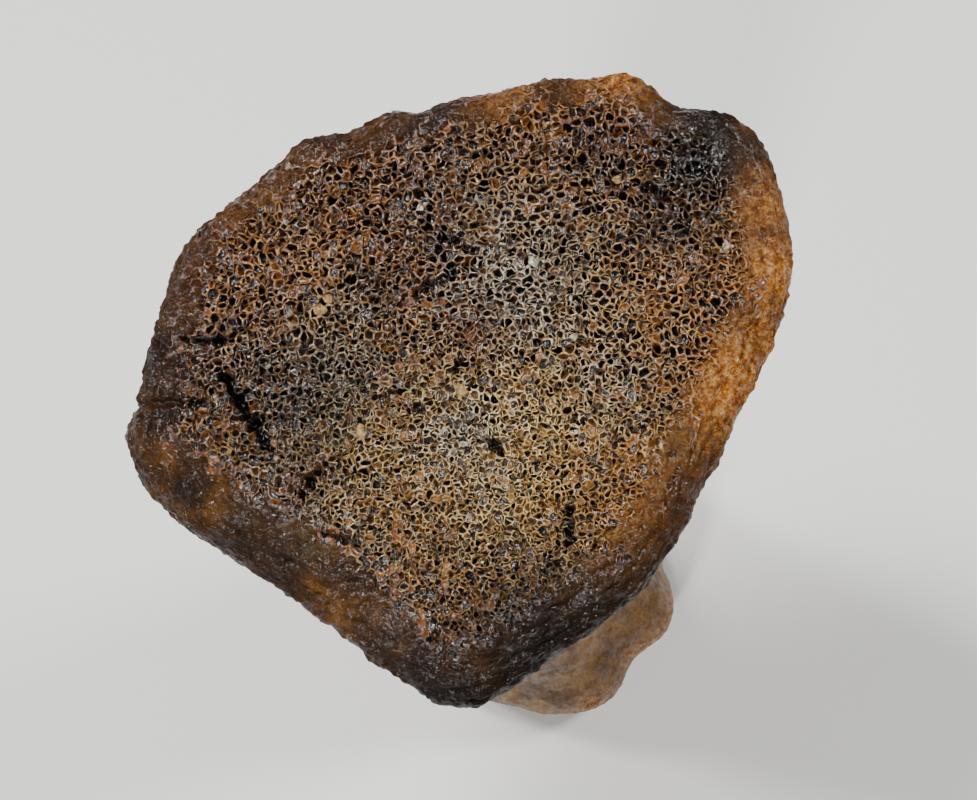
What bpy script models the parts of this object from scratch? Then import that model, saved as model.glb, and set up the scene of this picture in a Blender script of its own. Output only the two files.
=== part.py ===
"""A fossil mammoth limb bone, a young animal's tibia, standing on its lower end.

The shaft is one loft: closed outlines at several levels, blended smoothly from the
foot at Z = 0 through the waist to the wide upper end. The growth plate has worn off
the upper end, so its face is open spongy bone: a jittered honeycomb of small pits
on a gently domed and hollowed surface, with a smooth rim rolled over its edge.
"""

import math
import random

import bmesh
import bpy
from mathutils import Vector, noise
from mathutils.geometry import delaunay_2d_cdt

MM = 0.001

# Driving sizes, in metres
RIM_LEVEL = 354 * MM        # where the upper end is widest
ROLL_HEIGHT = 14 * MM       # the rim rolls over this far, from there up to the face
FACE_LEVEL = RIM_LEVEL + ROLL_HEIGHT
DOME_HEIGHT = 4 * MM        # how far the middle of the face stands over its edge
PIT_PITCH = 4.5 * MM        # from one pit's middle to the next
PIT_DEPTH = 2.8 * MM
FADE_WIDTH = 9 * MM         # pits get shallow over this width inside the rim
FOOT_HOLLOW = 4 * MM        # the lower joint face is dished this deep
LUMP_SIZE = 30 * MM         # spacing of the gentle lumps along the shaft
LUMP_HEIGHT = 1.6 * MM
KNOB_SIZE = 13 * MM         # spacing of the smaller knobs near both ends
KNOB_HEIGHT = 1.5 * MM

AROUND = 84                 # points in each outline
RINGS = 21                  # rings between the foot and the rim
ROLL_RINGS = 3              # rings that round the rim over
SEED = 7

# Outlines seen from above, as (angle in degrees from +X, radius in millimetres)
RIM = [
    (2, 73.5), (14, 83.5), (26, 91.5), (38.5, 97), (46, 95.2), (50.5, 89.2), (54, 87.5),
    (60, 90), (65, 85.5), (74, 80), (80, 75), (90, 71.3), (97, 69), (103, 72), (113, 71.2),
    (124, 74.4), (136, 72.6), (146, 76.5), (153.5, 78.7), (162, 76.8), (172, 79), (181, 79),
    (185.5, 83), (192, 83), (199, 80.5), (206, 76.4), (214, 72.2), (221, 68.7), (232, 66.8),
    (244, 67.5), (257, 72.1), (265, 77.5), (270.5, 79), (275.5, 77.2), (288, 72), (305, 68.2),
    (323, 66.2), (333, 64.8), (338, 64.1), (342, 66.1), (353, 69.2),
]
NECK = [
    (0, 52), (20, 60), (40, 66), (60, 62), (80, 53), (100, 50), (122, 52), (147, 55),
    (170, 58), (190, 59), (210, 52), (230, 48), (250, 53), (268, 61), (285, 54), (305, 49),
    (325, 46), (342, 48),
]
WAIST = [
    (0, 31.5), (30, 33.5), (60, 33), (90, 30), (120, 31), (150, 33.5), (180, 32.5),
    (210, 31), (240, 33), (270, 37), (300, 33), (330, 30),
]
FOOT = [
    (0, 50.2), (22, 47.5), (42, 50), (60, 52), (80, 49), (100, 47), (120, 49), (140, 53),
    (160, 54), (180, 51), (200, 49), (220, 50), (242, 51), (262, 52.2), (276, 55.2), (288, 57.5),
    (298, 57.4), (308, 55.8), (317, 53.2), (325, 55), (335, 56.3), (342, 56.3), (351, 54),
]
# How wide the smooth rim is, seen from above, at each angle
RIM_WIDTH = [
    (0, 9), (30, 9), (50, 5), (90, 4), (140, 5), (170, 8), (195, 13), (230, 13), (262, 9),
    (290, 8), (330, 9),
]
# The loft's levels, as (height in millimetres, outline, scale)
LEVELS = [
    (0, FOOT, 0.80), (3, FOOT, 0.885), (9, FOOT, 0.955), (22, FOOT, 1.0), (37, FOOT, 0.965),
    (58, FOOT, 0.82), (88, WAIST, 1.18), (125, WAIST, 1.04), (165, WAIST, 1.0),
    (210, WAIST, 1.09), (250, NECK, 0.76), (284, NECK, 0.92), (312, NECK, 1.11),
    (336, RIM, 0.945), (354, RIM, 1.0),
]
# Swellings of the side (hollows are negative): (angle, height, half angle, half height, push)
SWELLS = [
    (269, 318, 11, 22, 4.5), (269, 255, 9, 45, 3.5), (292, 285, 12, 45, -2.5),
    (245, 285, 14, 45, -3.0), (100, 300, 24, 42, -4.0), (182, 326, 12, 18, 2.5),
    (36, 322, 12, 22, 2.5), (205, 150, 12, 70, -2.0), (120, 160, 7, 60, 1.8),
    (20, 130, 8, 70, 1.6), (318, 40, 8, 24, -3.5), (338, 52, 12, 26, 2.5),
    (160, 48, 14, 24, 3.0), (90, 36, 16, 20, -2.5),
]
# Hollows of the face: (x, y, radius, depth) in millimetres, and cracks: both ends, width, depth
HOLLOWS = [
    (-14, 20, 13, 2.4), (6, 31, 14, 2.2), (26, 42, 13, 2.0), (60, 52, 12, 3.0),
    (-49, -12, 9, 2.5), (-30, -24, 6, 2.0), (28, -40, 6, 2.0), (58, 8, 12, 1.6),
]
CRACKS = [
    ((-53, -5), (-44.5, -18.5), 2.6, 6.0),
    ((28, -35), (29, -46), 2.2, 5.0),
    ((-66, 12), (-57, 10.5), 2.0, 4.0),
]


def radius_at(outline, degrees):
    """The outline's radius in metres, on a smooth closed curve through its points."""
    count = len(outline)
    degrees %= 360
    after = next((i for i, (angle, _) in enumerate(outline) if angle > degrees), count)
    angles = []
    radii = []
    for i in range(after - 2, after + 2):
        turn, index = divmod(i, count)
        angles.append(outline[index][0] + 360 * turn)
        radii.append(outline[index][1])
    share = (degrees - angles[1]) / (angles[2] - angles[1])
    return MM * hermite(angles, radii, share)


def hermite(places, values, share):
    """A smooth curve between the middle two of four values, with the slopes of their neighbours."""
    step = places[2] - places[1]
    slope_in = step * (values[2] - values[0]) / (places[2] - places[0])
    slope_out = step * (values[3] - values[1]) / (places[3] - places[1])
    rise = values[2] - values[1]
    bend_in = slope_in - rise
    bend_out = rise - slope_out
    return values[1] + share * (rise + (1 - share) * (bend_in * (1 - share) + bend_out * share))


def loft_radius(degrees, height):
    """The shaft's radius at this angle and height, in metres, blended along the levels."""
    last = len(LEVELS) - 1
    after = next((i for i, level in enumerate(LEVELS) if level[0] * MM > height), last)
    picks = [min(max(i, 0), last) for i in range(after - 2, after + 2)]
    places = [LEVELS[i][0] * MM for i in picks]
    places[0] -= MM * (picks[0] == picks[1])
    places[3] += MM * (picks[3] == picks[2])
    radii = [LEVELS[i][2] * radius_at(LEVELS[i][1], degrees) for i in picks]
    share = (height - places[1]) / (places[2] - places[1])
    return hermite(places, radii, share)


def lump(point):
    """Gentle lumps all along the bone, and smaller knobs round its two ends."""
    to_end = min(point.z - 10 * MM, RIM_LEVEL - point.z) / (60 * MM)
    near_end = min(1.0, max(0.15, 1 - to_end))
    gentle = LUMP_HEIGHT * noise.noise(point / LUMP_SIZE)
    return gentle + KNOB_HEIGHT * near_end * noise.noise(point / KNOB_SIZE)


def swell(degrees, height):
    """How far the named swellings push the side out here."""
    push = 0.0
    for angle, level, half_angle, half_height, size in SWELLS:
        around = ((degrees - angle + 180) % 360 - 180) / half_angle
        along = (height / MM - level) / half_height
        push += size * MM * math.exp(-around ** 2 - along ** 2)
    return push


def shaft_point(degrees, height):
    turn = math.radians(degrees)
    out = Vector((math.cos(turn), math.sin(turn), 0))
    point = out * (loft_radius(degrees, height) + swell(degrees, height))
    point.z = height
    return point + out * lump(point)


def rim_drop(degrees):
    """The rim isn't level: it dips at the crest, at 270 degrees, and between its lumps."""
    crest_dip = 5 * MM * max(0.0, math.cos(math.radians(degrees - 275))) ** 3
    return crest_dip + 1.2 * MM * math.sin(math.radians(3 * degrees + 40))


def roll_point(degrees, share):
    """A point on the rim's rolled edge: share 0 is the widest place and 1 the face's edge."""
    turn = math.radians(degrees)
    lean = share * math.pi / 2
    width = radius_at(RIM_WIDTH, degrees)
    base = shaft_point(degrees, RIM_LEVEL)
    inward = width * (1 - math.cos(lean))
    knob = 2 * KNOB_HEIGHT * noise.noise(base / KNOB_SIZE * 1.2)
    lift = (ROLL_HEIGHT - rim_drop(degrees) + knob) * math.sin(lean)
    return base + Vector((-inward * math.cos(turn), -inward * math.sin(turn), lift))


def edge_radius(edge_loop, degrees):
    """How far the face's edge is from the middle at this angle, along the loop's straight sides."""
    place = degrees % 360 / 360 * AROUND
    low = int(place)
    near = edge_loop[low % AROUND].length
    return near + (place - low) * (edge_loop[(low + 1) % AROUND].length - near)


def to_segment(x, y, start, end):
    """Distance from a point to a straight crack, in the units given."""
    run = Vector(end) - Vector(start)
    along = min(1.0, max(0.0, (Vector((x, y)) - Vector(start)).dot(run) / run.length_squared))
    return (Vector((x, y)) - Vector(start) - run * along).length


def face_height(x, y, edge_loop):
    """The height of the face's cell rims, in metres, over its domed and hollowed surface."""
    degrees = math.degrees(math.atan2(y, x))
    out = min(1.0, math.hypot(x, y) / edge_radius(edge_loop, degrees))
    height = FACE_LEVEL - rim_drop(degrees) * out ** 2 + DOME_HEIGHT * (1 - out ** 2)
    for hollow_x, hollow_y, radius, depth in HOLLOWS:
        away = math.hypot(x / MM - hollow_x, y / MM - hollow_y) / radius
        height -= depth * MM * math.exp(-away * away)
    for start, end, width, depth in CRACKS:
        away = to_segment(x / MM, y / MM, start, end) / width
        height -= depth * MM * math.exp(-away * away)
    return height + 0.8 * MM * (1 - out) * noise.noise(Vector((x, y, 0)) / (9 * MM))


def lattice_points(edge_loop, chance):
    """Points of a jittered triangular lattice inside the loop, each with its pit's depth, or 0."""
    spacing = PIT_PITCH / math.sqrt(3)
    reach = max(point.length for point in edge_loop)
    rows = int(1.2 * reach / (spacing * math.sqrt(0.75))) + 1
    found = []
    for row in range(-rows, rows + 1):
        for column in range(-2 * rows, 2 * rows + 1):
            point = Vector((spacing * (column + row / 2), spacing * row * math.sqrt(0.75), 0))
            is_pit = (column - row) % 3 == 0
            shake = spacing * (0.16 if is_pit else 0.28)
            depth_share = chance.uniform(0.6, 1.35)
            # Cells are smallest in the middle, and their rows wander.
            point *= 0.87 + 0.13 * point.length / reach
            point += 7 * MM * noise.noise_vector(point / (30 * MM))
            x = point.x + chance.uniform(-shake, shake)
            y = point.y + chance.uniform(-shake, shake)
            inside = edge_radius(edge_loop, math.degrees(math.atan2(y, x))) - math.hypot(x, y)
            if inside < 0.55 * spacing:
                continue
            fade = min(1.0, 0.25 + inside / FADE_WIDTH)
            found.append((x, y, PIT_DEPTH * depth_share * fade if is_pit else 0.0))
    return found


def loft_rings(bm):
    """The rings of vertices from the foot up and over the rolled rim."""
    rings = []
    for step in range(RINGS + 1):
        share = step / RINGS
        # Rings crowd towards both ends, where the outline turns fastest.
        height = RIM_LEVEL * (share - 0.11 * math.sin(2 * math.pi * share))
        rings.append([bm.verts.new(shaft_point(360 * i / AROUND, height)) for i in range(AROUND)])
    for step in range(1, ROLL_RINGS + 1):
        share = step / ROLL_RINGS
        rings.append([bm.verts.new(roll_point(360 * i / AROUND, share)) for i in range(AROUND)])
    return rings


def bridge(bm, rings):
    for lower, upper in zip(rings, rings[1:]):
        for i in range(AROUND):
            j = (i + 1) % AROUND
            bm.faces.new((lower[i], lower[j], upper[j], upper[i]))


def add_foot_face(bm, ring):
    """The lower joint face: a flat ring that the bone stands on, round a shallow dish."""
    face = bm.faces.new(list(reversed(ring)))
    face.normal_update()
    mean_radius = sum(vert.co.xy.length for vert in ring) / AROUND
    for width, rise in ((0.34, 0.0), (0.22, 0.6), (0.22, 1.0)):
        bmesh.ops.inset_region(bm, faces=[face], thickness=width * mean_radius, use_even_offset=False)
        for vert in face.verts:
            vert.co.z = rise * FOOT_HOLLOW


def add_spongy_face(bm, edge_ring, chance):
    """The worn upper face: pits and the sharp walls between them, joined to the rim's last ring."""
    edge_loop = [vert.co.xy for vert in edge_ring]
    inner = lattice_points(edge_loop, chance)
    flat = edge_loop + [Vector((x, y)) for x, y, _ in inner]
    loop_edges = [(i, (i + 1) % AROUND) for i in range(AROUND)]
    corners, _, triangles, origins, _, _ = delaunay_2d_cdt(flat, loop_edges, [], 1, 1e-7)
    verts = []
    for corner, origin in zip(corners, origins):
        if origin[0] < AROUND:
            verts.append(edge_ring[origin[0]])
            continue
        height = face_height(corner.x, corner.y, edge_loop) - inner[origin[0] - AROUND][2]
        verts.append(bm.verts.new((corner.x, corner.y, height)))
    for triangle in triangles:
        bm.faces.new([verts[i] for i in triangle])


def fossil_material():
    """Dark brown mineralised bone under a glossy preservative."""
    material = bpy.data.materials.new("mineralised_bone")
    material.use_nodes = True
    shader = material.node_tree.nodes["Principled BSDF"]
    shader.inputs["Base Color"].default_value = (0.13, 0.065, 0.028, 1.0)
    shader.inputs["Roughness"].default_value = 0.35
    shader.inputs["Metallic"].default_value = 0.0
    return material


def build_bone():
    chance = random.Random(SEED)
    bm = bmesh.new()
    rings = loft_rings(bm)
    bridge(bm, rings)
    add_foot_face(bm, rings[0])
    add_spongy_face(bm, rings[-1], chance)
    bmesh.ops.recalc_face_normals(bm, faces=bm.faces)
    middle_x = sum(pick(vert.co.x for vert in bm.verts) for pick in (min, max)) / 2
    middle_y = sum(pick(vert.co.y for vert in bm.verts) for pick in (min, max)) / 2
    bmesh.ops.translate(bm, verts=bm.verts, vec=(-middle_x, -middle_y, 0))
    mesh = bpy.data.meshes.new("bone")
    bm.to_mesh(mesh)
    bm.free()
    mesh.materials.append(fossil_material())
    mesh.shade_smooth()
    mesh.set_sharp_from_angle(angle=math.radians(40))
    return bpy.data.objects.new("bone", mesh)


def main():
    for old in list(bpy.data.objects):
        bpy.data.objects.remove(old, do_unlink=True)
    collection = bpy.data.collections.new("fossil_mammoth_bone")
    bpy.context.scene.collection.children.link(collection)
    collection.objects.link(build_bone())


main()
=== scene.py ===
"""Looks of a fossil mammoth limb bone: varnished brown bone round an open face of spongy bone."""

import math
import random

import bmesh
import bpy
import numpy as np
from mathutils import Matrix, Vector, noise
from mathutils.geometry import delaunay_2d_cdt


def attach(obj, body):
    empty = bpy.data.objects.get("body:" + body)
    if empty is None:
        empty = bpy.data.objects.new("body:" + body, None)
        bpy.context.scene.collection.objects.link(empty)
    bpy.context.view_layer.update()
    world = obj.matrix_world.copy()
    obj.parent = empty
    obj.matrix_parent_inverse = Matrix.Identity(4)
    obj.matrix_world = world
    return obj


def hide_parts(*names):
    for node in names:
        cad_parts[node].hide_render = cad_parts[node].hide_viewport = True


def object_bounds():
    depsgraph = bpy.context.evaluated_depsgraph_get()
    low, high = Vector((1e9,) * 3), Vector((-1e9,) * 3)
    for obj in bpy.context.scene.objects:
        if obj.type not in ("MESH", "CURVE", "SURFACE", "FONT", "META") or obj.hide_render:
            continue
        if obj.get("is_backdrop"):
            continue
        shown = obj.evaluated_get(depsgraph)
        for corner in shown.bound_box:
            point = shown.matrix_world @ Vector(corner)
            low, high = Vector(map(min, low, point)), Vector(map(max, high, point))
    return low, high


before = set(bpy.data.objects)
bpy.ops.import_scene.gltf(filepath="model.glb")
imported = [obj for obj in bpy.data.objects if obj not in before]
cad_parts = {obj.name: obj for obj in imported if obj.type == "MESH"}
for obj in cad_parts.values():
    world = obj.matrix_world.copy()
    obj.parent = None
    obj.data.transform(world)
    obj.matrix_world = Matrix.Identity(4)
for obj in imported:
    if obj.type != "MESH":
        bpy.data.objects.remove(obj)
cad_low, cad_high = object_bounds()
MM = 0.001
# Vector noise starts from the clock unless its seed is set.
noise.seed_set(11)


# The outside of the bone
# Dense cortical bone of a young mammoth, turned to dark brown mineral and coated with a glossy
# preservative. Where the growth plate has come off, the bone rolls over into a worn rim.

# Where the wide end is widest, how far its rim rolls up from there, and the open face's dome
RIM_LEVEL = 354 * MM
ROLL_HEIGHT = 14 * MM
DOME_HEIGHT = 4 * MM
# The rolled rim's width, in millimetres at angles in degrees
RIM_WIDTH = {
    0: 9, 30: 9, 50: 5, 90: 4, 140: 5, 170: 8, 195: 13, 230: 13, 262: 9, 290: 8, 330: 9,
}
# Hollows worn into the open face: x, y, reach and depth, in millimetres
HOLLOWS = [
    (-14, 20, 13, 2.4), (6, 31, 14, 2.2), (26, 42, 13, 2.0), (60, 52, 12, 3.0),
    (-49, -12, 9, 2.5), (-30, -24, 6, 2.0), (28, -40, 6, 2.0), (58, 8, 12, 1.6),
]

# The side and the lower end are the solid's own surface, and the rim is rolled over anew.
bone = bmesh.new()
bone.from_mesh(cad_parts["bone"].data)
bmesh.ops.remove_doubles(bone, verts=bone.verts, dist=0.002 * MM)
over_rim = [vert for vert in bone.verts if vert.co.z > RIM_LEVEL + 0.02 * MM]
bmesh.ops.delete(bone, geom=over_rim, context="VERTS")
bmesh.ops.join_triangles(
    bone, faces=bone.faces, angle_face_threshold=math.radians(50), angle_shape_threshold=math.pi
)

rim_edges = [edge for edge in bone.edges if edge.is_boundary]
rim_loop = sorted({vert for edge in rim_edges for vert in edge.verts},
                  key=lambda vert: math.atan2(vert.co.y, vert.co.x))
rim_angles = [math.atan2(vert.co.y, vert.co.x) for vert in rim_loop]
rim_radii = [vert.co.xy.length for vert in rim_loop]
rim_knobs = [3 * MM * noise.noise(vert.co / (11 * MM)) for vert in rim_loop]


def around_rim(values, angle):
    """A value known at each vertex of the rim's widest loop, at any angle in radians."""
    return np.interp(angle, rim_angles, values, period=2 * math.pi)


def by_angle(table, angle):
    """Reads a table of millimetres at angles in degrees, at any angle in radians."""
    return np.interp(np.degrees(angle), list(table), list(table.values()), period=360)


def rim_width(angle):
    return by_angle(RIM_WIDTH, angle) * MM


def rim_lift(angle):
    """How far the rim's top is over its widest level: it dips at the crest and between knobs."""
    crest_dip = 5 * np.maximum(0, np.cos(angle - math.radians(275))) ** 3
    waves = 1.2 * np.sin(3 * angle + math.radians(40))
    return ROLL_HEIGHT - MM * (crest_dip + waves) + around_rim(rim_knobs, angle)


def end_height(x, y):
    """The wide end's height over a point: the rolled rim, and inside it the domed open face."""
    angle = np.arctan2(y, x)
    radius = np.hypot(x, y)
    widest = around_rim(rim_radii, angle)
    width = rim_width(angle)
    inward = np.clip((widest - radius) / width, 0, 1)
    rolled = RIM_LEVEL + rim_lift(angle) * np.sqrt(1 - (1 - inward) ** 2)
    out = np.minimum(1, radius / (widest - width))
    middle = RIM_LEVEL + ROLL_HEIGHT + DOME_HEIGHT
    share = out ** 3
    face = middle * (1 - share) + (RIM_LEVEL + rim_lift(angle)) * share
    for hollow_x, hollow_y, reach, depth in HOLLOWS:
        away = np.hypot(x / MM - hollow_x, y / MM - hollow_y) / reach
        face = face - depth * MM * np.exp(-away * away)
    return np.where(inward < 1, rolled, face)


# The rim rolls through a quarter turn, and then runs on as a ledge below the open face.
LEDGE = 14 * MM
for share in (0.2, 0.4, 0.6, 0.8, 1.0, 1.15, 1.3, 1.6):
    made = bmesh.ops.extrude_edge_only(bone, edges=rim_edges)["geom"]
    rim_edges = [item for item in made if isinstance(item, bmesh.types.BMEdge) and item.is_boundary]
    for vert in [item for item in made if isinstance(item, bmesh.types.BMVert)]:
        angle = math.atan2(vert.co.y, vert.co.x)
        lean = min(1.0, share) * math.pi / 2
        under_face = max(0.0, share - 1)
        inward = rim_width(angle) * (1 - math.cos(lean)) + under_face * LEDGE
        radius = around_rim(rim_radii, angle) - inward
        vert.co.x = radius * math.cos(angle)
        vert.co.y = radius * math.sin(angle)
        vert.co.z = end_height(vert.co.x, vert.co.y) - (0.1 + 7 * under_face ** 2) * MM
bmesh.ops.recalc_face_normals(bone, faces=bone.faces)


def as_object(bm, name):
    """Makes the bmesh an object at the origin, and frees it."""
    mesh = bpy.data.meshes.new(name)
    bm.to_mesh(mesh)
    bm.free()
    piece = bpy.data.objects.new(name, mesh)
    bpy.context.scene.collection.objects.link(piece)
    return piece


def with_modifier(piece, kind, **settings):
    """Applies one modifier and gives the piece its new mesh."""
    modifier = piece.modifiers.new(kind.lower(), kind)
    for name, value in settings.items():
        setattr(modifier, name, value)
    shaped = bpy.data.meshes.new_from_object(
        piece.evaluated_get(bpy.context.evaluated_depsgraph_get()))
    piece.modifiers.clear()
    piece.data = shaped
    return piece


def points_of(mesh):
    flat = np.empty(3 * len(mesh.vertices))
    mesh.vertices.foreach_get("co", flat)
    return flat.reshape(-1, 3)


def normals_of(mesh):
    flat = np.empty(3 * len(mesh.vertices))
    mesh.vertex_normals.foreach_get("vector", flat)
    return flat.reshape(-1, 3)


# How far inside the solid's box the surface stays
INSIDE = 0.02 * MM


def move_points(mesh, points):
    """Moves every vertex, and keeps it just inside the solid's box."""
    low = np.array(cad_low) + INSIDE
    high = np.array(cad_high) - INSIDE
    low[2] = cad_low.z
    mesh.vertices.foreach_set("co", np.clip(points, low, high).ravel())
    mesh.update()


# Cracks and broken holes of the wide end: two ends, half width and depth, in millimetres
CRACKS = [
    ((-57, 2), (-45, -17), 1.0, 6.0), ((-67, 11), (-56, 10.5), 0.7, 3.5),
    ((-80, -4), (-61, -5), 1.0, 1.8), ((-76, 11.5), (-73, 9.5), 0.9, 3.0),
    ((-15, 19), (1, 27), 0.8, 1.8), ((27, -31), (27.5, -41), 0.6, 3.0),
    ((-37, -28), (-33, -22), 0.8, 2.6), ((-33, -37), (-22, -40), 0.6, 2.2),
    ((8, -17), (12, -18), 1.0, 2.6), ((-11, -9), (-6, -6), 0.8, 2.2), ((0, 1), (1, 4), 0.8, 2.4),
    ((-20, -5), (-12, -3), 0.6, 1.8), ((46, 47), (52, 44), 1.0, 2.2), ((-4, 35), (4, 32), 0.8, 2.0),
]


def crack_depth(x, y, raggedness):
    """How far the cracks sink the end here, in millimetres: ragged slots of broken cells."""
    sunk = np.zeros_like(x)
    for (x1, y1), (x2, y2), width, depth in CRACKS:
        run_x, run_y = x2 - x1, y2 - y1
        along = ((x / MM - x1) * run_x + (y / MM - y1) * run_y) / (run_x ** 2 + run_y ** 2)
        along = np.clip(along, 0, 1)
        away = np.hypot(x / MM - x1 - along * run_x, y / MM - y1 - along * run_y)
        away = np.maximum(0, away + raggedness) / (width * (0.5 + 1.2 * np.sqrt(along * (1 - along))))
        sunk = np.maximum(sunk, depth * np.exp(-away ** 3))
    return sunk


def cortex_relief(x, y, z):
    """Lumps, long fibres and small open pores of the outside, in millimetres along the normal."""
    point = Vector((x, y, z)) / MM
    relief = 0.5 * noise.noise(point / 8) + 0.22 * noise.noise(point / 3)
    fibres = noise.noise(Vector((point.x / 1.9, point.y / 1.9, point.z / 24)))
    fibres += 1.2 * noise.noise(Vector((point.x / 6, point.y / 6, point.z / 45)))
    # Towards the wide end the fibres are worn away.
    worn = min(1.0, max(0.0, (point.z - 330) / 22))
    relief += 0.25 * fibres * (1 - worn)
    if worn:
        # Strands that run along the rim, and pits between them.
        radius = point.xy.length
        around = point.xy * 75 / radius
        across = point.z - radius
        strands = noise.noise(Vector((around.x / 6, around.y / 6, across / 2.2)))
        bent = point + 1.4 * noise.noise_vector(point / 2.0)
        pits = max(0.0, 0.5 - noise.voronoi(bent / 2.6)[0][0])
        relief += worn * (1.0 * strands + 0.6 * noise.noise(point / 1.5) - 1.3 * pits)
    return (relief - 0.25 * worn) * min(1.0, point.z / 6)


outside = with_modifier(as_object(bone, "outside"), "SUBSURF", levels=3, render_levels=3)
points = points_of(outside.data)
relief = np.array([cortex_relief(*point) for point in points])
relief -= crack_depth(points[:, 0], points[:, 1], 0.0) * np.clip((points[:, 2] / MM - 345) / 8, 0, 1)
move_points(outside.data, points + normals_of(outside.data) * relief[:, None] * MM)

# Stains of the mineral, and painted shade where dark patches lie on the shadowed lower slope of the
# rim and in the deep hollow at the upper right: (tint, x, y, z, reach, strength), in millimetres
STAINS = [
    ("ochre", 79, 26, 360, 12, 1.0), ("ochre", 79, 8, 360, 12, 1.0), ("ochre", 75, 44, 362, 10, 0.8),
    ("ochre", 70, -4, 362, 15, 1.0), ("ochre", 64, -30, 362, 11, 0.4), ("ochre", 40, 76, 366, 9, 0.8),
    ("ochre", 12, 73, 364, 9, 0.5), ("ochre", 50, 20, 370, 16, 0.35), ("ochre", -40, 40, 370, 20, 0.3),
    ("ochre", 46, -26, 20, 20, 0.8), ("ochre", 22, -50, 24, 14, 0.7), ("ochre", 50, 4, 30, 14, 0.5),
    ("ochre", 30, -20, 120, 40, 0.4), ("ochre", -30, 10, 180, 50, 0.5), ("ochre", 0, 30, 80, 30, 0.4),
    ("pale", 12, -16, 372, 30, 1.0), ("pale", -22, -18, 372, 22, 0.7), ("pale", 30, 16, 372, 22, 0.5),
    ("pale", -30, 12, 372, 14, 0.3), ("pale", 44, -18, 372, 14, 0.5), ("pale", 15, 40, 372, 14, 0.25),
    ("dark_stain_and_shade", 22, -66, 362, 24, 1.0), ("dark_stain_and_shade", -2, -78, 360, 18, 1.0), ("dark_stain_and_shade", 60, 54, 366, 16, 1.0),
    ("dark_stain_and_shade", 59, 68, 362, 9, 1.0), ("dark_stain_and_shade", 52, 38, 370, 12, 0.7), ("dark_stain_and_shade", 36, 54, 370, 11, 0.6),
    ("dark_stain_and_shade", -52, -44, 362, 18, 0.5), ("dark_stain_and_shade", 52, -52, 364, 12, 0.5), ("dark_stain_and_shade", -20, 22, 370, 10, 0.6),
    ("dark_stain_and_shade", -38, -6, 372, 24, 0.75), ("dark_stain_and_shade", -4, 44, 370, 20, 0.4), ("dark_stain_and_shade", 30, 34, 370, 18, 0.35),
    ("dark_stain_and_shade", -60, 0, 366, 14, 0.5), ("grey", 14, 22, 372, 20, 0.9), ("grey", 2, -14, 372, 13, 0.8),
    ("grey", -30, 2, 372, 16, 0.5), ("grey", -34, -34, 370, 14, 0.5), ("grey", 36, 2, 372, 14, 0.5),
    ("red", 4, 10, 372, 9, 0.8), ("red", -12, 30, 372, 12, 0.5), ("red", 40, 62, 370, 9, 0.9),
    ("red", 60, -34, 362, 14, 0.8), ("red", -60, 30, 366, 20, 0.35), ("red", -26, 56, 368, 18, 0.5),
    ("red", -38, -26, 372, 7, 0.9), ("ochre", 38, -28, 370, 13, 0.45), ("dark_stain_and_shade", -40, 48, 366, 18, 0.4),
]


def add_stains(mesh):
    """Stores how strongly each tint shows at each point."""
    points = points_of(mesh) / MM
    bare = np.clip((318 - points[:, 2]) / 60, 0, 1)
    for tint in ("ochre", "pale", "dark_stain_and_shade", "grey", "red"):
        strength = 0.75 * bare if tint == "pale" else 0 * bare
        for kind, x, y, z, reach, most in STAINS:
            if kind == tint:
                away = np.linalg.norm(points - (x, y, z), axis=1) / reach
                strength = np.maximum(strength, most * np.exp(-away * away))
        mesh.attributes.new(tint, "FLOAT", "POINT").data.foreach_set("value", strength)


add_stains(outside.data)


def srgb(code):
    """A linear colour from an sRGB hex value."""
    parts = [int(code[i:i + 2], 16) / 255 for i in (1, 3, 5)]
    return [c / 12.92 if c < 0.04045 else ((c + 0.055) / 1.055) ** 2.4 for c in parts] + [1.0]


def add_node(tree, kind, inputs=None, **settings):
    """Adds a node; an input is either a value or the socket that feeds it."""
    node = tree.nodes.new("ShaderNode" + kind)
    for name, value in settings.items():
        setattr(node, name, value)
    for name, value in (inputs or {}).items():
        if isinstance(value, bpy.types.NodeSocket):
            tree.links.new(value, node.inputs[name])
        else:
            node.inputs[name].default_value = value
    return node


def add_ramp(tree, factor, stops):
    """A colour ramp, each stop with a hex value or a grey between 0 and 1."""
    node = add_node(tree, "ValToRGB", {"Fac": factor})
    elements = node.color_ramp.elements
    while len(elements) < len(stops):
        elements.new(0.5)
    for element, (place, colour) in zip(elements, stops):
        element.position = place
        element.color = srgb(colour) if isinstance(colour, str) else (colour, colour, colour, 1)
    return node.outputs["Color"]


def mixed(tree, factor, first, second, blend="MIX"):
    """Blends two colours, each a hex value or a socket."""
    node = add_node(tree, "Mix", {"Factor": factor}, data_type="RGBA", blend_type=blend)
    for socket, value in ((node.inputs[6], first), (node.inputs[7], second)):
        if isinstance(value, bpy.types.NodeSocket):
            tree.links.new(value, socket)
        else:
            socket.default_value = srgb(value)
    return node.outputs[2]


def varnished(name):
    """A new material: mineral bone under a clear, glossy coat of preservative."""
    material = bpy.data.materials.new(name)
    material.use_nodes = True
    tree = material.node_tree
    shader = tree.nodes["Principled BSDF"]
    shader.inputs["IOR"].default_value = 1.54
    shader.inputs["Coat Roughness"].default_value = 0.04
    shader.inputs["Coat IOR"].default_value = 1.5
    return material, tree, shader


def grain(tree, size_mm, detail=3.0, stretch=1.0, roughness=0.6):
    """Noise whose lumps are about this wide, drawn out along the bone by the stretch."""
    place = add_node(tree, "TexCoord").outputs["Object"]
    if stretch != 1.0:
        place = add_node(tree, "Mapping", {"Vector": place, "Scale": (1, 1, 1 / stretch)}).outputs[0]
    return add_node(tree, "TexNoise", {
        "Vector": place, "Scale": 1 / (size_mm * MM), "Detail": detail, "Roughness": roughness,
    }).outputs["Fac"]


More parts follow.
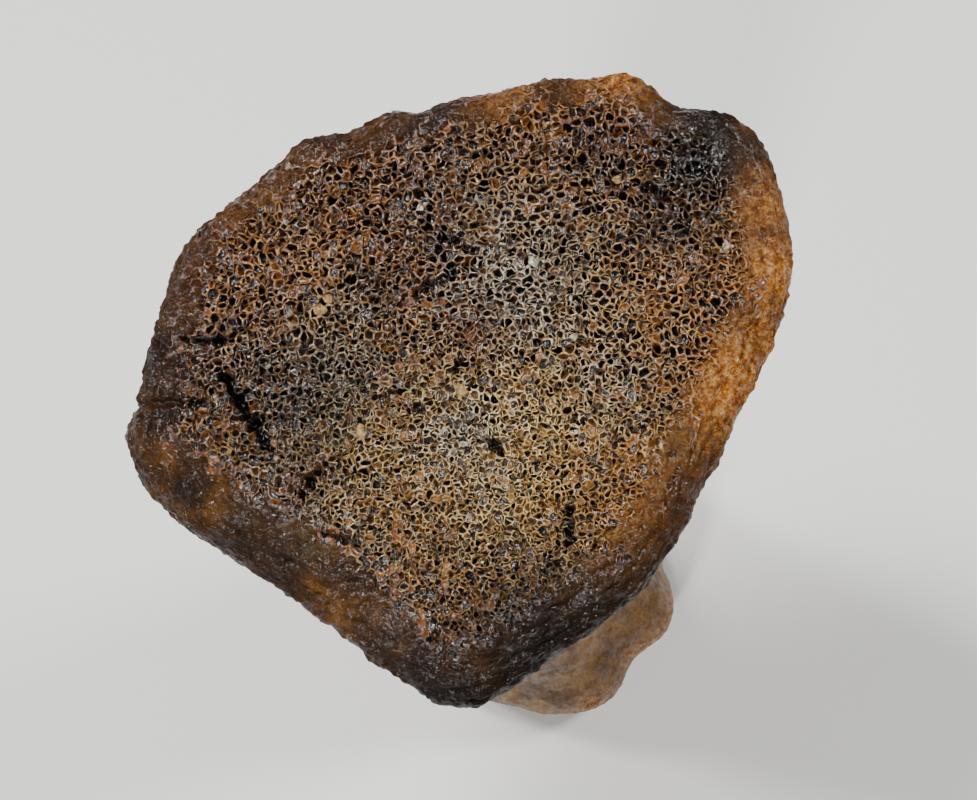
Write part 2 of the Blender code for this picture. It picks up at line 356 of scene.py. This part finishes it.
# Cortical bone, mineralised and varnished: brown to tan in long blotches, ochre where iron has
# stained it, finely pored near the rim, with a wet-looking gloss. Real pores are under 0.3 mm,
# too fine to show, so they are drawn 0.6 to 1.5 mm wide.
cortex, tree, shader = varnished("varnished_cortical_bone")
shader.inputs["Specular IOR Level"].default_value = 0.1
tint = {name: add_node(tree, "Attribute", attribute_name=name).outputs["Fac"]
        for name in ("ochre", "pale", "dark_stain_and_shade", "red")}
blotch = grain(tree, 12, 5, 2.2)
colour = add_ramp(tree, blotch,
                  [(0.3, "#140802"), (0.45, "#2C1604"), (0.57, "#4A2C08"), (0.7, "#744C14")])
tan = add_ramp(tree, grain(tree, 11, 5, 3.0),
               [(0.3, "#442C0E"), (0.45, "#805824"), (0.57, "#A27C3E"), (0.7, "#B89454")])
colour = mixed(tree, tint["pale"], colour, tan)
amber = add_ramp(tree, grain(tree, 1.8, 7, 3.0, 0.74),
                 [(0.3, "#3A1804"), (0.43, "#9A5612"), (0.52, "#D88F34"), (0.64, "#F4CC8C")])
colour = mixed(tree, tint["ochre"], colour, amber)
colour = mixed(tree, tint["red"], colour, "#3A1A06")
# Painted shade: the dark tint is real dark stain in places, and elsewhere shade painted on the lower
# slope of the rim and in the deepest hollow.
colour = mixed(tree, tint["dark_stain_and_shade"], colour, "#170B03")
specks = grain(tree, 0.6, 5)
# The shaft is the pale, bare part of the cortex, and shows its long fibres.
threads = grain(tree, 1.0, 4, 9.0)
bare = add_ramp(tree, tint["pale"], [(0.1, 0.0), (0.7, 1.0)])
threaded = mixed(tree, 0.45, colour, add_ramp(tree, threads, [(0.42, 0.25), (0.52, 1.0)]), "MULTIPLY")
colour = mixed(tree, bare, colour, threaded)
# A few long drying cracks in the shaft, from a net of cells 17 mm wide and a dozen times as long.
place = add_node(tree, "TexCoord").outputs["Object"]
wander = add_node(tree, "TexNoise", {"Vector": place, "Scale": 1 / (7 * MM)}).outputs["Color"]
bent = mixed(tree, 0.0009, place, wander, "LINEAR_LIGHT")
bent = add_node(tree, "Mapping", {"Vector": bent, "Scale": (1, 1, 0.08)}).outputs[0]
splits = add_node(tree, "TexVoronoi", {"Vector": bent, "Scale": 1 / (17 * MM)},
                  feature="DISTANCE_TO_EDGE").outputs["Distance"]
splits = add_ramp(tree, splits, [(0.006, 0.1), (0.02, 1.0)])
sound = add_ramp(tree, grain(tree, 22, 3, 2.0), [(0.44, 1.0), (0.5, 0.0)])
height = add_node(tree, "SeparateXYZ", {"Vector": place}).outputs["Z"]
on_shaft = add_ramp(tree, height, [(0.06, 0.0), (0.09, 1.0)])
sound = mixed(tree, mixed(tree, 1.0, bare, on_shaft, "MULTIPLY"), "#FFFFFF", sound)
splits = mixed(tree, sound, splits, "#FFFFFF")
colour = mixed(tree, 0.85, colour, splits, "MULTIPLY")
speckled = add_ramp(tree, specks, [(0.4, 0.2), (0.5, 0.8), (0.64, 1.0)])
speckling = add_ramp(tree, bare, [(0.0, 0.7), (1.0, 0.4)])
colour = mixed(tree, speckling, colour, speckled, "MULTIPLY")
# The varnish has soaked in and darkens the bone as water would.
colour = mixed(tree, 1.0, colour, "#D8CEC2", "MULTIPLY")
tree.links.new(colour, shader.inputs["Base Color"])
tree.links.new(add_ramp(tree, grain(tree, 2), [(0.3, 0.5), (0.7, 0.85)]), shader.inputs["Roughness"])
roughened = add_ramp(tree, bare, [(0.0, 1.0), (1.0, 0.3)])
coarse = add_node(tree, "Bump", {
    "Height": grain(tree, 1.5, 2), "Distance": 0.9 * MM, "Strength": roughened,
})
split = add_node(tree, "Bump", {
    "Height": splits, "Distance": 0.5 * MM, "Strength": 0.8, "Normal": coarse.outputs[0],
})
thread = add_node(tree, "Bump", {
    "Height": threads, "Distance": 0.4 * MM, "Strength": 0.6, "Normal": split.outputs[0],
})
fine = add_node(tree, "Bump", {
    "Height": specks, "Distance": 0.4 * MM, "Strength": 0.7, "Normal": thread.outputs[0],
})
tree.links.new(fine.outputs[0], shader.inputs["Normal"])
tree.links.new(split.outputs[0], shader.inputs["Coat Normal"])
# The varnish has worn thin in patches.
varnish = add_ramp(tree, grain(tree, 6, 3), [(0.42, 0.12), (0.6, 0.38)])
tree.links.new(varnish, shader.inputs["Coat Weight"])


def split_off(whole, name, keep):
    """A piece of a larger surface, with the whole surface's shading along the cut."""
    part = bmesh.new()
    part.from_mesh(whole.data)
    normal = part.verts.layers.float_vector.new("whole_normal")
    for vert, direction in zip(part.verts, normals_of(whole.data)):
        vert[normal] = direction
    unwanted = [face for face in part.faces if not keep(face.calc_center_median())]
    bmesh.ops.delete(part, geom=unwanted, context="FACES")
    piece = as_object(part, name)
    piece.data.shade_smooth()
    stored = piece.data.attributes["whole_normal"]
    directions = np.empty(3 * len(piece.data.vertices))
    stored.data.foreach_get("vector", directions)
    piece.data.attributes.remove(stored)
    piece.data.normals_split_custom_set_from_vertices(directions.reshape(-1, 3).tolist())
    return piece


def fit(piece, material):
    """Gives a piece its finish, and says which solid it shows."""
    piece.data.materials.clear()
    piece.data.materials.append(material)
    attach(piece, "root")
    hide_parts("bone")


# The outside is one surface, cut at two levels to keep each length's mesh a moderate size.
LENGTHS = {"wide_end": (0.3, 1.0), "shaft": (0.09, 0.3), "lower_end": (-1.0, 0.09)}
for name, (low, high) in LENGTHS.items():
    fit(split_off(outside, "bone_" + name, lambda middle: low <= middle.z < high), cortex)
bpy.data.objects.remove(outside)


# The open face
# Spongy bone behind the lost growth plate: thousands of cells one to three and a half
# millimetres across, with thin glossy walls worn to different heights, closing up at the rim.

# How far inside the bone's edge the cells begin, in millimetres at angles in degrees
CELL_MARGIN = {
    0: 7, 30: 5.5, 50: 4, 75: 2, 100: 2, 140: 2.5, 160: 4, 180: 7, 200: 12, 230: 12, 255: 10,
    275: 8, 300: 6, 330: 5.5,
}


def near_rim(x, y):
    """1 where the cells begin, falling to 0 a little way inside."""
    angle = np.arctan2(y, x)
    inside = (around_rim(rim_radii, angle) - np.hypot(x, y)) / MM
    return np.clip(1 - (inside - by_angle(CELL_MARGIN, angle) - 1) / 9, 0, 1)


# How many points are tried, and the side of the squares that they are sorted into
TRIES = 110000
SQUARE = 1.5


def cell_middles(extra_margin, chance):
    """Random points over the face, in millimetres, each with its own least distance to others."""
    squares = {}
    found = []
    for _ in range(TRIES):
        x = chance.uniform(-84, 84)
        y = chance.uniform(-80, 80)
        angle = math.atan2(y, x)
        inside = around_rim(rim_radii, angle) / MM - math.hypot(x, y)
        ragged = 3.5 * noise.noise(Vector((x / 4, y / 4, 0)))
        if inside < extra_margin + by_angle(CELL_MARGIN, angle) + ragged:
            continue
        # Cells are finest in the middle of the face and coarsest at its upper edge.
        from_middle = min(1.0, math.hypot(x - 10, y + 16) / 60)
        gap = 1.28 + 0.42 * from_middle + 0.006 * y
        gap *= chance.choice((0.7, 0.85, 1.0, 1.15, 1.55))
        column, row = int(x // SQUARE), int(y // SQUARE)
        near = [point for i in range(column - 2, column + 3) for j in range(row - 2, row + 3)
                for point in squares.get((i, j), ())]
        if all((px - x) ** 2 + (py - y) ** 2 > 0.25 * (gap + other) ** 2 for px, py, other in near):
            squares.setdefault((column, row), []).append((x, y, gap))
            found.append(Vector((x, y)))
    return found


# Blender makes a net's dual only in geometry nodes.
dual = bpy.data.node_groups.new("cell_outlines", "GeometryNodeTree")
for direction in ("INPUT", "OUTPUT"):
    dual.interface.new_socket("Geometry", in_out=direction, socket_type="NodeSocketGeometry")
group_in = dual.nodes.new("NodeGroupInput")
group_out = dual.nodes.new("NodeGroupOutput")
dual_net = dual.nodes.new("GeometryNodeDualMesh")
dual.links.new(group_in.outputs[0], dual_net.inputs[0])
dual.links.new(dual_net.outputs[0], group_out.inputs[0])


# The longest wall of a real cell, in millimetres
LONGEST_WALL = 4.2


def cell_outlines(middles):
    """One flat polygon round each middle: the dual of the triangles between the middles."""
    corners, _, triangles, *_ = delaunay_2d_cdt(middles, [], [], 0, 1e-6)
    net = bmesh.new()
    verts = [net.verts.new((corner.x, corner.y, 0)) for corner in corners]
    for triangle in triangles:
        net.faces.new([verts[i] for i in triangle])
    piece = with_modifier(as_object(net, "triangles"), "NODES", node_group=dual)
    cells = bmesh.new()
    cells.from_mesh(piece.data)
    bpy.data.objects.remove(piece)
    # Where the margin bends inward, slivers span it.
    slivers = [face for face in cells.faces
               if max(edge.calc_length() for edge in face.edges) > LONGEST_WALL]
    bmesh.ops.delete(cells, geom=slivers, context="FACES")
    for face in cells.faces:
        face.normal_update()
    if sum(face.normal.z for face in cells.faces) < 0:
        bmesh.ops.reverse_faces(cells, faces=cells.faces)
    return cells


# How each kind of cell goes down: (narrowing, drop, painted shade) for each step, the first two as
# shares of the cell's radius; the painted shade darkens the colour with depth
CELL_KINDS = {
    "shallow": [(0.08, 0.3, 0.2), (0.26, 0.16, 0.3), (0.4, 0.04, 0.35)],
    "bowl": [(0.06, 0.5, 0.25), (0.22, 0.35, 0.4), (0.4, 0.1, 0.45)],
    "deep": [(0.04, 0.8, 0.35), (0.1, 1.1, 0.7), (0.4, 0.5, 1.0)],
    "open": [(0.05, 0.4, 0.22), (0.04, 0.3, 0.3), (0.0, 0.2, 0.4)],
}


def sink_cells(cells, chance, shares, half_wall, rounding):
    """Insets every cell to leave thin walls, then sinks it in steps. Returns the open ones.

    The shares say how common each kind is; by the rim, most cells are closed up and shallow.
    """
    # Painted shade: the depth layer darkens the colour step by step down into each cell.
    level = cells.verts.layers.float.new("depth")
    shade = cells.verts.layers.float.new("tone")
    sunk = []
    for face in cells.faces:
        middle = face.calc_center_median()
        at_rim = float(near_rim(middle.x * MM, middle.y * MM))
        kind = chance.choices(list(shares), list(shares.values()))[0]
        if middle.y > 0 and chance.random() < 0.28:
            kind = "deep"
        radius = math.sqrt(face.calc_area() / math.pi)
        if radius > 1.35 and kind == "shallow":
            kind = "bowl"
        if chance.random() < 1.4 * at_rim:
            kind = "shallow"
        sunk.append((face, middle, radius, at_rim, kind, chance.uniform(0.7, 1.3), chance.random()))
    inset = {"faces": [cell[0] for cell in sunk], "use_even_offset": True}
    bmesh.ops.inset_individual(cells, thickness=half_wall, **inset)
    for face, middle, radius, at_rim, kind, size, tone in sunk:
        for vert in face.verts:
            vert.co = middle.lerp(vert.co, 1 - 0.08 * (size - 0.7) - 0.2 * at_rim ** 2)
            vert.co.z = -0.14
            vert[level] = 0.06
            vert[shade] = tone
    mouths = list({vert for cell in sunk for vert in cell[0].verts})
    bmesh.ops.smooth_vert(cells, verts=mouths, factor=rounding, use_axis_x=True, use_axis_y=True)
    for step in range(3):
        bmesh.ops.inset_individual(cells, thickness=0.004, **inset)
        for face, _, radius, _, kind, size, tone in sunk:
            narrowing, drop, painted_shade = CELL_KINDS[kind][step]
            middle = face.calc_center_median()
            for vert in face.verts:
                vert.co = middle.lerp(vert.co, 1 - narrowing)
                vert.co.z -= drop * radius * size
                vert[level] = painted_shade
                vert[shade] = tone
    open_cells = [face for face, _, _, _, kind, _, _ in sunk if kind == "open"]
    closed = [face for face, _, _, _, kind, _, _ in sunk if kind != "open"]
    for vert in bmesh.ops.poke(cells, faces=closed, offset=-0.12)["verts"]:
        beside = vert.link_edges[0].other_vert(vert)
        vert[level] = beside[level]
        vert[shade] = beside[shade]
    return open_cells


# How far the walls wander sideways, and how far their crests lie below the end's height
WAVINESS = 0.75
CREST_DROP = 0.5


def lay_on_end(surface, sink):
    """Bends the flat honeycomb to the end's dome and wears its walls to uneven heights."""
    flat = points_of(surface.data)
    moves = np.empty((len(flat), 4))
    broken_off = np.empty(len(flat))
    for i, (x, y, z) in enumerate(flat):
        place = Vector((x, y, 1.2 * z))
        wave = noise.noise_vector(place / 2.2) + 0.6 * noise.noise_vector(place / 0.8)
        place.z = 0
        worn = 0.7 * noise.noise(place / 1.1) + 0.6 * noise.noise(place / 6)
        broken = 3.2 * max(0.0, noise.noise(place / 1.7 + Vector((40, 0, 0))) - 0.16) * (z > -0.2)
        ragged = 1.8 * noise.noise(place / 2.1)
        broken_off[i] = broken
        moves[i] = WAVINESS * wave.x, WAVINESS * wave.y, worn - broken, ragged
    x, y = (flat[:, :2] + moves[:, :2]).T * MM
    to_rim = near_rim(x, y)
    cracked = crack_depth(x, y, moves[:, 3])
    low = (flat[:, 2] + moves[:, 2]) * (1 - 0.5 * to_rim) - sink
    height = end_height(x, y) + (low - CREST_DROP - 0.3 * to_rim ** 2 - cracked) * MM
    height = np.minimum(height, cad_high.z - INSIDE)
    surface.data.vertices.foreach_set("co", np.column_stack([x, y, height]).ravel())
    # Painted shade: cracks and broken-down walls are drawn darker, as shade in them.
    depth = surface.data.attributes["depth"].data
    shade = np.empty(len(flat))
    depth.foreach_get("value", shade)
    depth.foreach_set("value", np.clip(shade + 0.2 * cracked + 0.1 * broken_off, 0, 1))
    rim = surface.data.attributes.new("rim", "FLOAT", "POINT").data
    rim.foreach_set("value", to_rim)
    surface.data.update()


# The upper net of cells, with some walls lost and some cells open to the net below.
chance = random.Random(11)
cells = cell_outlines(cell_middles(0.0, chance))
bmesh.ops.smooth_vert(cells, verts=cells.verts, factor=0.3, use_axis_x=True, use_axis_y=True)
inner_edges = [edge for edge in cells.edges if len(edge.link_faces) == 2]
lost_walls = chance.sample(inner_edges, len(inner_edges) // 9)
bmesh.ops.dissolve_edges(cells, edges=lost_walls, use_verts=False)
bmesh.ops.bisect_edges(cells, edges=cells.edges, cuts=1)
kinds = {"shallow": 0.2, "bowl": 0.34, "deep": 0.1, "open": 0.36}
open_cells = sink_cells(cells, chance, kinds, 0.055, 0.45)
bmesh.ops.delete(cells, geom=open_cells, context="FACES")
walls = as_object(cells, "cell_walls")
lay_on_end(walls, 0.0)

# The net below, 0.7 mm deeper.
cells = cell_outlines(cell_middles(4.5, chance))
sink_cells(cells, chance, {"shallow": 0.2, "bowl": 0.5, "deep": 0.3}, 0.06, 0.45)
deep_walls = as_object(cells, "deep_cells")
lay_on_end(deep_walls, 0.7)
for surface in (walls, deep_walls):
    add_stains(surface.data)

# Spongy bone, mineralised and varnished: pale tan on the thin worn crests of the walls, amber
# and brown on their wet-looking sides, and painted shade, nearly black, at the bottom of the deepest
# cells and in cracks.
spongy, tree, shader = varnished("varnished_spongy_bone")
shader.inputs["Specular IOR Level"].default_value = 0.3
tint = {name: add_node(tree, "Attribute", attribute_name=name).outputs["Fac"]
        for name in ("ochre", "pale", "dark_stain_and_shade", "grey", "red", "depth", "tone", "rim")}
by_rim = add_ramp(tree, tint["rim"], [(0.1, 0.0), (0.8, 1.0)])
crest = add_ramp(tree, grain(tree, 3, 6, roughness=0.75),
                 [(0.36, "#1E0F05"), (0.49, "#664012"), (0.63, "#CE9E58")])
pale = add_ramp(tree, grain(tree, 4, 6, roughness=0.75),
                [(0.36, "#6E5426"), (0.47, "#DCB464"), (0.58, "#FFEAB0")])
crest = mixed(tree, tint["pale"], crest, pale)
ashen = add_ramp(tree, grain(tree, 2, 5), [(0.36, "#4A4236"), (0.48, "#A39C88"), (0.6, "#E0DAC8")])
crest = mixed(tree, tint["grey"], crest, ashen)
crest = mixed(tree, tint["red"], crest, "#6E3C10")
crest = mixed(tree, by_rim, crest, "#4A2A10")
crest = mixed(tree, tint["ochre"], crest, "#C88C3C")
# Painted shade as well as dark stains: the dark tint also darkens the shadowed lower rim and the deep
# hollow at the upper right.
crest = mixed(tree, tint["dark_stain_and_shade"], crest, "#1A100A")
# Each cell has a tone of its own, so that amber ones are next to nearly black ones.
tone = add_node(tree, "Mix", {"Factor": 0.45, "A": grain(tree, 2.5, 4), "B": tint["tone"]}).outputs[0]
side = add_ramp(tree, tone,
                [(0.25, "#0D0401"), (0.42, "#2A1102"), (0.58, "#663204"), (0.75, "#A8660E")])
greyed = add_ramp(tree, tone, [(0.25, "#1E160B"), (0.5, "#6A4E1E"), (0.75, "#B48A40")])
side = mixed(tree, add_ramp(tree, tint["pale"], [(0.2, 0.0), (1.0, 0.7)]), side, greyed)
side = mixed(tree, add_ramp(tree, tint["grey"], [(0.2, 0.0), (1.0, 0.7)]), side, "#2C2820")
side = mixed(tree, add_ramp(tree, tint["red"], [(0.0, 0.0), (1.0, 0.6)]), side, "#401803")
side = mixed(tree, add_ramp(tree, by_rim, [(0.3, 0.0), (1.0, 0.6)]), side, "#2A1206")
side = mixed(tree, add_ramp(tree, tint["ochre"], [(0.2, 0.0), (0.9, 0.8)]), side, "#7A4410")
side = mixed(tree, tint["dark_stain_and_shade"], side, "#120B07")
depth = tint["depth"]
# Painted shade: the colour goes from crest to side colour and then nearly black as the cells deepen.
colour = mixed(tree, add_ramp(tree, depth, [(0.05, 0.0), (0.12, 1.0)]), crest, side)
colour = mixed(tree, add_ramp(tree, depth, [(0.3, 0.0), (0.7, 1.0)]), colour, "#0B0603")
colour = mixed(tree, 1.0, colour, "#D2CABE", "MULTIPLY")
tree.links.new(colour, shader.inputs["Base Color"])
tree.links.new(add_ramp(tree, grain(tree, 1.2), [(0.3, 0.2), (0.7, 0.5)]), shader.inputs["Roughness"])
fine = add_node(tree, "Bump", {"Height": grain(tree, 0.6, 3), "Distance": 0.2 * MM, "Strength": 0.8})
tree.links.new(fine.outputs[0], shader.inputs["Normal"])
wet = add_node(tree, "Bump", {"Height": grain(tree, 0.9, 1), "Distance": 0.5 * MM, "Strength": 0.9})
tree.links.new(wet.outputs[0], shader.inputs["Coat Normal"])
varnish = add_ramp(tree, tint["rim"], [(0.3, 1.0), (0.9, 0.45)])
tree.links.new(varnish, shader.inputs["Coat Weight"])

# The upper net is cut in three sectors, between angles in degrees.
SECTORS = {"left": (-180, -60), "right": (-60, 60), "top": (60, 180.1)}
for name, (start, end) in SECTORS.items():
    sector = split_off(walls, "cell_walls_" + name, lambda middle:
                       start <= math.degrees(math.atan2(middle.y, middle.x)) < end)
    fit(sector, spongy)
fit(split_off(deep_walls, "deep_cell_walls", lambda middle: True), spongy)
bpy.data.objects.remove(walls)
bpy.data.objects.remove(deep_walls)


# Grains lodged in the cells
# A few waxy quartz grains and pale lumps of hardened silt, washed into the open cells while the
# bone lay buried, and varnished over with it.

# x, y and radius in millimetres, and kind
GRAINS = [
    (66.0, 32.0, 1.5, "quartz"), (39.5, 49.0, 0.9, "silt"), (-33.0, 17.5, 1.6, "silt"),
    (-31.0, 20.0, 1.0, "silt"), (1.5, -3.5, 1.3, "silt"), (-22.5, -13.5, 1.4, "silt"),
    (-8.5, 42.5, 0.9, "quartz"), (19.0, 28.5, 1.1, "quartz"), (-58.0, 26.0, 0.7, "silt"),
    (28.5, 9.0, 0.8, "quartz"), (12.5, -27.0, 0.7, "quartz"), (44.0, -8.0, 0.7, "silt"),
    (-12.0, -40.0, 0.8, "silt"), (50.0, 24.0, 0.6, "quartz"), (-42.0, 40.0, 0.7, "quartz"),
]
quartz, tree, shader = varnished("waxy_quartz_grain")
shader.inputs["Coat Weight"].default_value = 0.6
colour = add_ramp(tree, grain(tree, 1.5, 3), [(0.35, "#5E584A"), (0.65, "#A39C8A")])
tree.links.new(colour, shader.inputs["Base Color"])
tree.links.new(add_ramp(tree, grain(tree, 0.5), [(0.3, 0.3), (0.7, 0.55)]), shader.inputs["Roughness"])
silt, tree, shader = varnished("varnished_hardened_silt")
shader.inputs["Coat Weight"].default_value = 0.3
colour = add_ramp(tree, grain(tree, 1.0, 4), [(0.35, "#5A4320"), (0.5, "#86683A"), (0.65, "#A88850")])
tree.links.new(colour, shader.inputs["Base Color"])
tree.links.new(add_ramp(tree, grain(tree, 0.5), [(0.3, 0.6), (0.7, 0.85)]), shader.inputs["Roughness"])
gritty = add_node(tree, "Bump", {"Height": grain(tree, 0.4, 3), "Distance": 0.2 * MM, "Strength": 0.7})
tree.links.new(gritty.outputs[0], shader.inputs["Normal"])
for stuff, finish in (("quartz", quartz), ("silt", silt)):
    grains = bmesh.new()
    for x, y, radius, kind in GRAINS:
        if kind != stuff:
            continue
        made = bmesh.ops.create_icosphere(grains, subdivisions=3, radius=radius * MM)["verts"]
        for vert in made:
            vert.co *= 1 + 0.9 * noise.noise(vert.co / (radius * MM) + Vector((x, y, 0)))
            vert.co.z *= 0.6
        level = float(end_height(x * MM, y * MM)) - (1.0 + 0.25 * radius) * MM
        bmesh.ops.translate(grains, verts=made, vec=(x * MM, y * MM, level))
    piece = as_object(grains, stuff + "_grains")
    piece.data.shade_smooth()
    fit(piece, finish)


# The studio
# A plain pale floor under soft lights. The camera looks steeply down on the wide end, so that
# only the edge of the lower end shows past it.
floor = bmesh.new()
bmesh.ops.create_grid(floor, x_segments=1, y_segments=1, size=3)
floor_piece = as_object(floor, "floor")
paper = bpy.data.materials.new("pale_paper")
paper.use_nodes = True
paper.node_tree.nodes["Principled BSDF"].inputs["Base Color"].default_value = srgb("#F0EFEC")
paper.node_tree.nodes["Principled BSDF"].inputs["Roughness"].default_value = 0.9
floor_piece.data.materials.append(paper)
floor_piece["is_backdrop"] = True


OPEN_FACE = Vector((0, 0, 0.36))


def add_light(name, place, size, power):
    """A square soft box that faces the bone's open face."""
    data = bpy.data.lights.new(name, "AREA")
    data.size = size
    data.energy = power
    light = bpy.data.objects.new(name, data)
    light.location = place
    light.rotation_mode = "QUATERNION"
    light.rotation_quaternion = (OPEN_FACE - Vector(place)).to_track_quat("-Z", "Y")
    bpy.context.scene.collection.objects.link(light)


add_light("soft_box_over", (-0.3, 0.3, 1.5), 0.2, 16)
add_light("soft_box_left", (-0.95, 0.35, 0.95), 0.2, 10)
add_light("soft_box_right", (0.8, 0.25, 1.0), 0.2, 9)
add_light("soft_box_front", (-0.35, -1.0, 0.9), 0.18, 11)
world = bpy.data.worlds.new("studio")
world.use_nodes = True
world.node_tree.nodes["Background"].inputs["Color"].default_value = srgb("#E8ECF0")
world.node_tree.nodes["Background"].inputs["Strength"].default_value = 0.08
bpy.context.scene.world = world

# The camera's place and axes are the photograph's.
lens = bpy.data.cameras.new("camera")
lens.sensor_width = 36
lens.lens = 94.4
lens.clip_start = 0.05
lens.clip_end = 20
camera = bpy.data.objects.new("camera", lens)
right = Vector((0.99765, 0, -0.06845))
up = Vector((0.01358, 0.98011, 0.19801))
back = Vector((0.06708, -0.19847, 0.97781))
turn = Matrix((right, up, back)).transposed().to_4x4()
camera.matrix_world = Matrix.Translation((0.0493, -0.1276, 0.9705)) @ turn
bpy.context.scene.collection.objects.link(camera)
bpy.context.scene.camera = camera

low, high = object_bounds()
